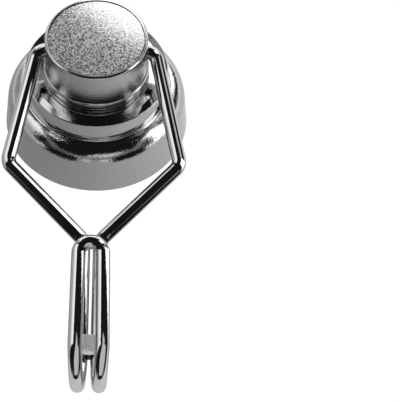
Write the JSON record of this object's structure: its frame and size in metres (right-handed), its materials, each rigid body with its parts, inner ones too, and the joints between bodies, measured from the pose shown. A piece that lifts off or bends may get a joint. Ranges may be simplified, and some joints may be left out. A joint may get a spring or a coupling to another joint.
{
  "type": "magnetic hook",
  "caption": "Round magnetic hook: a stepped chrome magnet base, a turning knob with a matt face, and a swinging wire bail that ends in a double-wire hook.",
  "frame": {"origin": "centre of the flat contact face that clings to steel", "axes": "+Z out of the contact face along the axis of the knob; +X along the pivot of the bail; the bail lies towards -Y"},
  "size_m": [0.0382, 0.0928, 0.0276],
  "materials": {
    "cover_chrome": "polished plate over drawn steel",
    "knob_chrome": "polished plate over turned steel",
    "knob_face_grain": "fine matt grain",
    "wire_chrome": "polished plate over drawn wire",
    "sleeve_chrome": "bright plate over crimped strip",
    "plated_steel": "zinc plate",
    "magnet_grey": "ground ceramic magnet",
    "seal_resin": "cast resin"
  },
  "bodies": {
    "magnet_base": {"housing_shell": "cover_chrome", "magnet_pot": "plated_steel", "ring_magnet": "magnet_grey", "pole_core": "plated_steel", "face_seal": "seal_resin", "slip_washer": "knob_chrome"},
    "knob": {"knob_body": "knob_chrome", "knob_face_plate": "knob_face_grain", "swivel_stud": "plated_steel", "inner_washer": "plated_steel", "neck_washer": "knob_chrome"},
    "bail": {"wire_bail": "wire_chrome", "leg_sleeve": "sleeve_chrome"}
  },
  "joints": [
    {"name": "knob_swivel", "type": "hinge", "parent": "magnet_base", "child": "knob", "pos_m": [0, 0, 0.0183], "axis": [0, 0, 1], "continuous": true},
    {"name": "bail_swing", "type": "hinge", "parent": "knob", "child": "bail", "pos_m": [0, 0, 0.0232], "axis": [-1, 0, 0], "range_deg": [-16, 232]}
  ]
}
